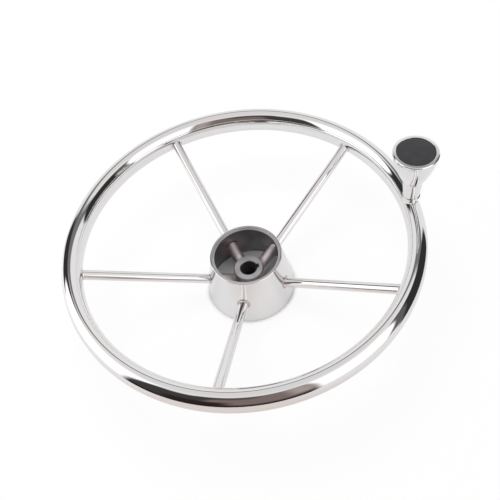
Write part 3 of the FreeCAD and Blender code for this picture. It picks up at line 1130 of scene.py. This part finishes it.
class WHEEL_OT_hub_inside(WheelOperator, bpy.types.Operator):
    """Build the bush with its keyway, and the socket arms round it"""

    bl_idname = "wheel.hub_inside"
    bl_label = "Bush and arms"

    def execute(self, context):
        scene = context.scene
        hub, looks = scene.wheel_hub, scene.wheel_finishes
        bush = new_mesh("hub_bush", [turned(bush_profile(hub), AROUND["bush"])], True)
        bush = cut(bush, [keyway_cutter(hub)])
        bush_steel = turned_steel("bush_steel", looks.turned, looks.turned_roughness, face_lines)
        add_piece("hub_bush", bush, "wheel", bush_steel)
        # Painted light: the arms take a paler tone than the bush, standing in for how brightly they are
        # lit.
        arm_steel_painted_light = turned_steel("arm_steel_painted_light", looks.arm, looks.arm_roughness, rod_lines)
        add_at_spokes(scene.wheel_spokes, "hub_arm", arm_grid(scene), arm_steel_painted_light)
        return {"FINISHED"}


class WHEEL_OT_knob(WheelOperator, bpy.types.Operator):
    """Build what shows of the knob: its boss, washer, goblet, bezel and cap"""

    bl_idname = "wheel.knob"
    bl_label = "Knob"

    def execute(self, context):
        scene = context.scene
        knob, looks, z = scene.wheel_knob, scene.wheel_finishes, KnobHeights(scene)
        steel = polished_steel("knob_steel", looks, knob_lines(z.centre))
        boss = new_mesh("knob_boss", [boss_grid(scene)], True)
        add_piece("knob_boss", boss, "wheel", steel)
        bore, top = knob.shoulder / 2 + knob.running_gap, z.boss_top + knob.washer
        washer = ring_profile(knob.lower_washer / 2, bore, z.boss_top, top, WASHER_EDGE)
        body, bezel, cap = knob_body_profile(knob, z), bezel_profile(knob, z), cap_profile(knob, z)
        made = [
            ("knob_lower_washer", washer, "washer", True, "wheel", "turned_steel", steel),
            ("knob_body", body, "knob", True, "knob", "polished_steel", steel),
            ("knob_bezel", bezel, "knob", True, "knob", "polished_steel", steel),
            ("knob_cap", cap, "cap", False, "knob", "black_cap", cap_plastic(looks)),
        ]
        for name, profile, steps, loop, rides_on, slot, material in made:
            grid = turned(profile, AROUND[steps], z.centre)
            add_piece(name, new_mesh(name, [grid], loop), rides_on, material)
        return {"FINISHED"}


class WHEEL_OT_knob_inside(WheelOperator, bpy.types.Operator):
    """Build what is hidden in the knob: the shoulder screw, its washer and the two sleeves"""

    bl_idname = "wheel.knob_inside"
    bl_label = "Screw and sleeves"

    def execute(self, context):
        scene = context.scene
        knob, looks, z = scene.wheel_knob, scene.wheel_finishes, KnobHeights(scene)
        bore = knob.shoulder / 2 + knob.running_gap
        steel = turned_steel("screw_steel", looks.turned, looks.turned_roughness, knob_lines(z.centre))
        screw = threaded(turned(screw_profile(knob, z), AROUND["screw"], z.centre), knob, z)
        top, corner = z.head_seat + knob.head_height, knob.hexagon / math.sqrt(3)
        low, high = top - knob.hexagon_depth, top + knob.hexagon_depth
        socket = post(corner, low, high, AROUND["hexagon"], z.centre)
        mesh = cut(new_mesh("knob_screw", [screw], False), [socket])
        add_piece("knob_screw", mesh, "wheel", steel)
        plastic = sleeve_plastic(looks)
        washer_bottom, sleeve_bottom = z.head_seat - knob.washer, z.cup_floor - knob.upper_sleeve
        rings = [
            ("knob_upper_washer", knob.upper_washer, washer_bottom, z.head_seat, "wheel", steel),
            ("knob_lower_sleeve", knob.sleeve, z.foot, z.foot + knob.lower_sleeve, "knob", plastic),
            ("knob_upper_sleeve", knob.sleeve, sleeve_bottom, z.cup_floor, "knob", plastic),
        ]
        for name, diameter, bottom, end, body, material in rings:
            slot = "nylon" if body == "knob" else "turned_steel"
            grid = turned(ring_profile(diameter / 2, bore, bottom, end), AROUND["sleeve"], z.centre)
            add_piece(name, new_mesh(name, [grid], True), body, material)
        return {"FINISHED"}


Panel = namedtuple("Panel", "azimuth elevation half_width half_height lean side_blur end_blur colour")

# The light round the wheel as large soft panels, as seen from it: bright ones at both sides of the camera,
# and the unlit room between and beyond them. Angles are in degrees: azimuth from +X towards +Y, elevation
# from level. A leaning panel moves sideways with height by that share. Each panel covers those before it.
ROOM = [
    Panel(-168, 14, 33, 33, 0.0, 3, 9, (1.45, 1.45, 1.45)),
    Panel(-33, 13, 26, 31, 0.0, 3, 8, (1.45, 1.45, 1.45)),
    Panel(-83, 11, 29, 35, -0.06, 3, 5, (0.23, 0.178, 0.168)),
    Panel(-61, 20, 5, 26, -0.06, 4, 7, (0.45, 0.38, 0.36)),
    Panel(-93, 34, 12, 8, 0.0, 5, 6, (0.09, 0.085, 0.085)),
    Panel(-122, 4, 17, 38, 0.15, 3, 6, (0.055, 0.054, 0.053)),
    Panel(-108, -8, 14, 14, 0.0, 5, 7, (0.03, 0.02, 0.02)),
    Panel(-98, -32, 44, 17, 0.0, 4, 7, (0.022, 0.014, 0.013)),
    Panel(16, 8, 20, 34, 0.06, 2, 4, (0.034, 0.034, 0.036)),
    Panel(-4, 12, 5, 30, 0.2, 2, 5, (0.13, 0.13, 0.135)),
    Panel(138, 44, 12, 4, 0.0, 4, 3, (0.06, 0.06, 0.063)),
    Panel(156, 21, 11, 30, -0.3, 2, 5, (0.035, 0.035, 0.038)),
]
# The grey gap over the white backdrop behind the wheel: directions near a plane through the wheel's middle
# that rises away from the camera.
GAP_RISE = math.radians(53)
GAP_EDGE = (0.06, 0.14)
GAP_REACH = (0.2, 0.45)
GAP_COLOUR = (0.2, 0.2, 0.205)
ROOM_WALL = (0.94, 0.94, 0.95)
ROOM_TOP = (0.82, 0.81, 0.81)
TOP_EDGE = (math.radians(50), math.radians(68))
WHITE, BLACK = (1.0, 1.0, 1.0), (0.0, 0.0, 0.0)
# Edges on the table in metres: of its warm front along Y and X, and round the hub's base.
FRONT_ALONG = (-0.14, -0.04)
FRONT_ACROSS = (0.08, 0.2)
BASE_EDGE = (0.0, 0.004)
UNLIT = (0.012, 0.012, 0.012)
LAMP_PLACE = (-0.25, 0.2)
TABLE_RINGS = 24
CAMERA_PLACE = (0.11256, -0.36858, 0.57366)
CAMERA_RIGHT = (0.98936, 0.11313, -0.09153)
CAMERA_UP = (-0.03169, 0.7814, 0.62323)
CAMERA_BACK = (0.14202, -0.6137, 0.77666)
CAMERA_SHIFT = (-0.0367, -0.0591)
CAMERA_CLIP = (0.01, 20.0)
SENSOR_WIDTH = 36.0


def panel_mask(azimuth, elevation, panel):
    """One inside a panel's outline and zero outside it, with soft edges."""
    centre = math.radians(panel.azimuth)
    tilt = elevation - math.radians(panel.elevation)
    aside = azimuth - centre - panel.lean * tilt
    aside = abs(aside.math("WRAP", aside, math.pi, -math.pi))

    def within(part, half, blur):
        """One up to a half size in degrees and zero beyond it, over a soft edge."""
        return 1 - part.rise(math.radians(half - blur), math.radians(half + blur))

    across = within(aside, panel.half_width, panel.side_blur)
    return across * within(abs(tilt), panel.half_height, panel.end_blur)


def add_stage(name, radius, height, material):
    """A profile of radii and heights, turned about the wheel's axis, as part of the stage."""
    mesh = new_mesh(name, [turned(np.stack([radius, height], axis=-1), AROUND[name])], False)
    mesh.materials.append(material)
    made = placed(name, mesh)
    return made


def build_room(scene):
    """The room's light on a large sphere round the wheel, by direction from the rim's centre. It throws no
    shadow, and the camera doesn't see it."""
    size, centre = scene.wheel_studio.room, Tube(scene).height
    material, graph = new_material("room_light")
    x, y, z = (part / size for part in graph.place())
    z = z - centre / size
    azimuth = y.math("ARCTAN2", y, x)
    elevation = z.math("ARCSINE", z)
    light = graph.mix(elevation.rise(*TOP_EDGE), ROOM_WALL, ROOM_TOP)
    off_gap = abs(z * math.cos(GAP_RISE) - y * math.sin(GAP_RISE))
    gap = (1 - off_gap.rise(*GAP_EDGE)) * y.rise(*GAP_REACH)
    light = graph.mix(gap, light, GAP_COLOUR)
    for panel in ROOM:
        light = graph.mix(panel_mask(azimuth, elevation, panel), light, panel.colour)
    graph.end("Emission", {0: light})
    angle = np.linspace(-np.pi / 2, np.pi / 2, 1 + AROUND["room"] // 2)
    room = add_stage("room", size * np.cos(angle), centre + size * np.sin(angle), material)
    room.visible_camera = False
    room.visible_shadow = False


def build_world(scene):
    """Plain white behind everything to the camera, and no light of its own."""
    world = bpy.data.worlds.new("studio")
    world.use_nodes = True
    scene.world = world
    graph = Graph(world.node_tree)
    graph.end("Background", {0: graph.mix(graph.camera_ray(), BLACK, WHITE), 1: 1.0}, "OutputWorld")


def table_material(scene):
    """Pale matt table, warmer at its front and dark under the hub's bore, where no light reaches it. To the
    camera it is nearly white, with a faint shadow of the wheel."""
    studio = scene.wheel_studio
    material, graph = new_material("table_top")
    x, y, _ = graph.place()
    front = (1 - y.rise(*FRONT_ALONG)) * (1 - abs(x).rise(*FRONT_ACROSS))
    cloud = graph.noise(graph.where(), 5.0, 2.0)
    plain = graph.mix(front * (0.7 + 0.3 * cloud), studio.table_colour, studio.table_front)
    seen = graph.camera_ray()
    bore, distance = scene.wheel_hub.bore / 2, from_axis(x, y)
    unlit = 1 - distance.rise(bore, bore * 1.2)
    tone = graph.mix(seen, plain, WHITE)
    matt = graph.node("BsdfDiffuse", None, {0: graph.mix(unlit, tone, UNLIT)})
    glow = graph.node("Emission", None, {0: tone})
    open_table = (distance - scene.wheel_hub.base / 2).rise(*BASE_EDGE)
    share_of_glow = studio.mirror_glow + seen * (studio.glow - studio.mirror_glow)
    graph.end("MixShader", {0: open_table * share_of_glow, 1: matt.outputs[0], 2: glow.outputs[0]})
    return material


class WHEEL_OT_stage(WheelOperator, bpy.types.Operator):
    """Build the round table, the lamp over it, the room's light and the camera"""

    bl_idname = "wheel.stage"
    bl_label = "Stage"

    def execute(self, context):
        scene = context.scene
        studio = scene.wheel_studio
        radius = np.linspace(0, studio.table, TABLE_RINGS)
        add_stage("table", radius, 0 * radius - studio.table_gap, table_material(scene))
        lamp = bpy.data.lights.new("overhead", "AREA")
        lamp.energy, lamp.size = studio.lamp_power, studio.lamp_size
        overhead = placed("overhead", lamp)
        overhead.location = (*LAMP_PLACE, studio.lamp_height)
        overhead.visible_glossy = False
        build_room(scene)
        build_world(scene)
        self.add_camera(scene, studio)
        scene.view_settings.view_transform = "Standard"
        return {"FINISHED"}

    def add_camera(self, scene, studio):
        """The photo's point of view, from its fitted place and directions."""
        data = bpy.data.cameras.new("camera")
        data.lens, data.sensor_width = studio.lens, SENSOR_WIDTH
        data.shift_x, data.shift_y = CAMERA_SHIFT
        data.clip_start, data.clip_end = CAMERA_CLIP
        camera = placed("camera", data)
        axes = Matrix((CAMERA_RIGHT, CAMERA_UP, CAMERA_BACK)).transposed().to_4x4()
        camera.matrix_world = Matrix.Translation(CAMERA_PLACE) @ axes
        scene.camera = camera


class WHEEL_PT_panel(bpy.types.Panel):
    """The wheel's steps, in the order in which they are built"""

    bl_idname = "WHEEL_PT_panel"
    bl_label = "Boat steering wheel"
    bl_space_type = "VIEW_3D"
    bl_region_type = "UI"
    bl_category = "Wheel"

    def draw(self, context):
        for step in STEPS:
            self.layout.operator(step.bl_idname)


STEPS = [
    WHEEL_OT_rim,
    WHEEL_OT_spokes,
    WHEEL_OT_hub_shell,
    WHEEL_OT_hub_inside,
    WHEEL_OT_knob,
    WHEEL_OT_knob_inside,
    WHEEL_OT_stage,
]
SETTINGS = {
    "wheel_rim": WheelRimSizes,
    "wheel_spokes": WheelSpokeSizes,
    "wheel_hub": WheelHubSizes,
    "wheel_knob": WheelKnobSizes,
    "wheel_finishes": WheelFinishes,
    "wheel_studio": WheelStudio,
}


def register():
    for group in [*SETTINGS.values(), *STEPS, WHEEL_PT_panel]:
        bpy.utils.register_class(group)
    for name, group in SETTINGS.items():
        setattr(bpy.types.Scene, name, PointerProperty(type=group))


def unregister():
    for name in SETTINGS:
        delattr(bpy.types.Scene, name)
    for group in [WHEEL_PT_panel, *reversed(STEPS), *SETTINGS.values()]:
        bpy.utils.unregister_class(group)


def main():
    register()
    for step in STEPS:
        group, name = step.bl_idname.split(".")
        if getattr(getattr(bpy.ops, group), name)() != {"FINISHED"}:
            raise RuntimeError(f"{step.bl_label} wasn't built")


if __name__ == "__main__":
    main()
